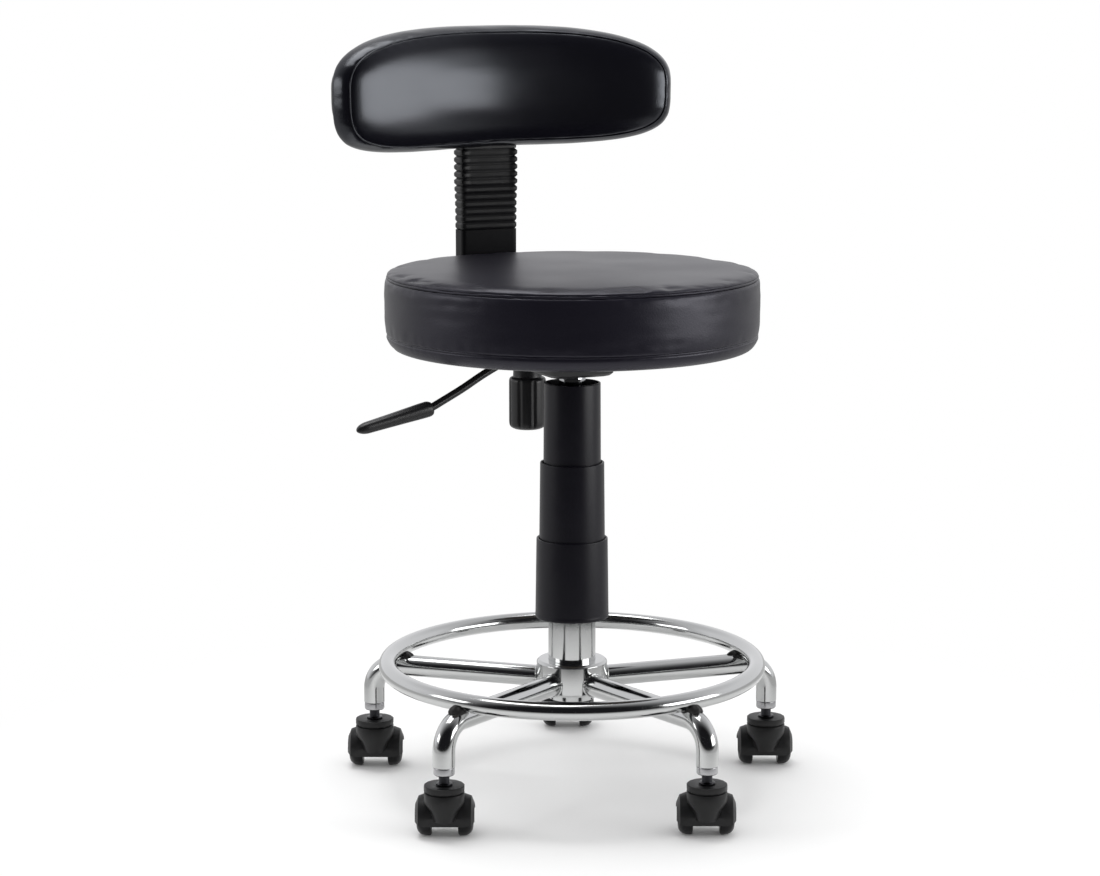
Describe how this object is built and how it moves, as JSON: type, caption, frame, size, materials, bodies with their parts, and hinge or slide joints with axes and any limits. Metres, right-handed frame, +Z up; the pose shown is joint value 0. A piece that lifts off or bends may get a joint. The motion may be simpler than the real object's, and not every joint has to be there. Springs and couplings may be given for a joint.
{
  "type": "stool with backrest",
  "caption": "Round black swivel stool with a curved backrest, a chromed foot ring, a telescopic gas lift cover and twin-wheel castors.",
  "frame": {"origin": "on the floor, on the axis of the column", "axes": "+Z up, +Y towards the backrest, +X to the right of someone who faces the backrest"},
  "size_m": [0.5189, 0.4882, 0.8023],
  "materials": {
    "chrome_steel": "polished",
    "zinc_steel": "satin",
    "dark_steel": "satin",
    "black_plastic": "satin",
    "cover_plastic": "satin",
    "wheel_nylon": "satin",
    "plywood": "matte",
    "leatherette": "satin"
  },
  "bodies": {
    "base": {"hub": "chrome_steel", "leg_1": "chrome_steel", "leg_2": "chrome_steel", "leg_3": "chrome_steel", "leg_4": "chrome_steel", "leg_5": "chrome_steel", "foot_ring": "chrome_steel", "castor_socket_1": "zinc_steel", "castor_socket_2": "zinc_steel", "castor_socket_3": "zinc_steel", "castor_socket_4": "zinc_steel", "castor_socket_5": "zinc_steel", "outer_tube": "chrome_steel", "guide_bush": "black_plastic", "piston_rod": "zinc_steel", "retaining_clip": "zinc_steel"},
    "castor_1": {"castor_stem_1": "zinc_steel", "castor_hood_1": "black_plastic", "castor_axle_1": "zinc_steel"},
    "wheel_left_1": {"castor_wheel_left_1": "wheel_nylon"},
    "wheel_right_1": {"castor_wheel_right_1": "wheel_nylon"},
    "castor_2": {"castor_stem_2": "zinc_steel", "castor_hood_2": "black_plastic", "castor_axle_2": "zinc_steel"},
    "wheel_left_2": {"castor_wheel_left_2": "wheel_nylon"},
    "wheel_right_2": {"castor_wheel_right_2": "wheel_nylon"},
    "castor_3": {"castor_stem_3": "zinc_steel", "castor_hood_3": "black_plastic", "castor_axle_3": "zinc_steel"},
    "wheel_left_3": {"castor_wheel_left_3": "wheel_nylon"},
    "wheel_right_3": {"castor_wheel_right_3": "wheel_nylon"},
    "castor_4": {"castor_stem_4": "zinc_steel", "castor_hood_4": "black_plastic", "castor_axle_4": "zinc_steel"},
    "wheel_left_4": {"castor_wheel_left_4": "wheel_nylon"},
    "wheel_right_4": {"castor_wheel_right_4": "wheel_nylon"},
    "castor_5": {"castor_stem_5": "zinc_steel", "castor_hood_5": "black_plastic", "castor_axle_5": "zinc_steel"},
    "wheel_left_5": {"castor_wheel_left_5": "wheel_nylon"},
    "wheel_right_5": {"castor_wheel_right_5": "wheel_nylon"},
    "lift": {"gas_cylinder": "chrome_steel", "cover_top": "cover_plastic"},
    "cover_middle": {"cover_middle": "cover_plastic"},
    "cover_bottom": {"cover_bottom": "cover_plastic"},
    "release": {"release_button": "zinc_steel"},
    "seat": {"mechanism_housing": "dark_steel", "seat_board": "plywood", "seat_cushion": "leatherette"},
    "lever": {"lever_rod": "dark_steel", "lever_grip": "black_plastic"},
    "knob": {"clamp_knob": "black_plastic"},
    "bar": {"back_bar": "dark_steel", "bar_sleeve": "cover_plastic", "bar_bellows": "black_plastic"},
    "back": {"back_bracket": "zinc_steel", "back_board": "plywood", "back_shell": "cover_plastic", "back_cushion": "leatherette"}
  },
  "joints": [
    {"name": "castor_1_swivel", "type": "hinge", "parent": "base", "child": "castor_1", "pos_m": [0.09225, 0.20478, 0.0754], "axis": [0, 0, 1], "continuous": true},
    {"name": "wheel_left_1_spin", "type": "hinge", "parent": "castor_1", "child": "wheel_left_1", "pos_m": [0.09914, 0.21922, 0.0197], "axis": [0.9026, -0.4305, 0], "continuous": true},
    {"name": "wheel_right_1_spin", "type": "hinge", "parent": "castor_1", "child": "wheel_right_1", "pos_m": [0.09914, 0.21922, 0.0197], "axis": [0.9026, -0.4305, 0], "continuous": true},
    {"name": "castor_2_swivel", "type": "hinge", "parent": "base", "child": "castor_2", "pos_m": [-0.16625, 0.15101, 0.0754], "axis": [0, 0, 1], "continuous": true},
    {"name": "wheel_left_2_spin", "type": "hinge", "parent": "castor_2", "child": "wheel_left_2", "pos_m": [-0.15936, 0.16545, 0.0197], "axis": [0.9026, -0.4305, 0], "continuous": true},
    {"name": "wheel_right_2_spin", "type": "hinge", "parent": "castor_2", "child": "wheel_right_2", "pos_m": [-0.15936, 0.16545, 0.0197], "axis": [0.9026, -0.4305, 0], "continuous": true},
    {"name": "castor_3_swivel", "type": "hinge", "parent": "base", "child": "castor_3", "pos_m": [-0.195, -0.11145, 0.0754], "axis": [0, 0, 1], "continuous": true},
    {"name": "wheel_left_3_spin", "type": "hinge", "parent": "castor_3", "child": "wheel_left_3", "pos_m": [-0.18811, -0.09701, 0.0197], "axis": [0.9026, -0.4305, 0], "continuous": true},
    {"name": "wheel_right_3_spin", "type": "hinge", "parent": "castor_3", "child": "wheel_right_3", "pos_m": [-0.18811, -0.09701, 0.0197], "axis": [0.9026, -0.4305, 0], "continuous": true},
    {"name": "castor_4_swivel", "type": "hinge", "parent": "base", "child": "castor_4", "pos_m": [0.04574, -0.21989, 0.0754], "axis": [0, 0, 1], "continuous": true},
    {"name": "wheel_left_4_spin", "type": "hinge", "parent": "castor_4", "child": "wheel_left_4", "pos_m": [0.05263, -0.20545, 0.0197], "axis": [0.9026, -0.4305, 0], "continuous": true},
    {"name": "wheel_right_4_spin", "type": "hinge", "parent": "castor_4", "child": "wheel_right_4", "pos_m": [0.05263, -0.20545, 0.0197], "axis": [0.9026, -0.4305, 0], "continuous": true},
    {"name": "castor_5_swivel", "type": "hinge", "parent": "base", "child": "castor_5", "pos_m": [0.22327, -0.02445, 0.0754], "axis": [0, 0, 1], "continuous": true},
    {"name": "wheel_left_5_spin", "type": "hinge", "parent": "castor_5", "child": "wheel_left_5", "pos_m": [0.23015, -0.01001, 0.0197], "axis": [0.9026, -0.4305, 0], "continuous": true},
    {"name": "wheel_right_5_spin", "type": "hinge", "parent": "castor_5", "child": "wheel_right_5", "pos_m": [0.23015, -0.01001, 0.0197], "axis": [0.9026, -0.4305, 0], "continuous": true},
    {"name": "column_lift", "type": "slide", "parent": "base", "child": "lift", "axis": [0, 0, 1], "range_m": [-0.12, 0]},
    {"name": "cover_middle_slide", "type": "slide", "parent": "base", "child": "cover_middle", "axis": [0, 0, 1], "range_m": [-0.0792, 0]},
    {"name": "cover_bottom_slide", "type": "slide", "parent": "base", "child": "cover_bottom", "axis": [0, 0, 1], "range_m": [-0.042, 0]},
    {"name": "seat_swivel", "type": "hinge", "parent": "lift", "child": "seat", "pos_m": [0, 0, 0.4583], "axis": [0, 0, 1], "continuous": true},
    {"name": "lever_hinge", "type": "hinge", "parent": "seat", "child": "lever", "pos_m": [-0.038, -0.00575, 0.4663], "axis": [-0.1495, 0.9888, 0], "range_deg": [0, 5], "stiffness_Nm_per_rad": 2},
    {"name": "button_press", "type": "slide", "parent": "lift", "child": "release", "axis": [0, 0, -1], "range_m": [0, 0.0036]},
    {"name": "knob_turn", "type": "hinge", "parent": "seat", "child": "knob", "pos_m": [0, 0.1125, 0.4163], "axis": [0, 0, 1], "range_deg": [0, 360]},
    {"name": "bar_depth", "type": "slide", "parent": "seat", "child": "bar", "axis": [0, 1, 0], "range_m": [-0.01, 0.03]},
    {"name": "back_height", "type": "slide", "parent": "bar", "child": "back", "axis": [0, 0, 1], "range_m": [-0.02, 0.04], "deforming": ["bar_bellows"]}
  ],
  "couplings": [
    {"joint": "cover_middle_slide", "follows": "column_lift", "ratio": 0.66},
    {"joint": "cover_bottom_slide", "follows": "column_lift", "ratio": 0.35},
    {"joint": "button_press", "follows": "lever_hinge", "m_per_rad": 0.03843}
  ]
}
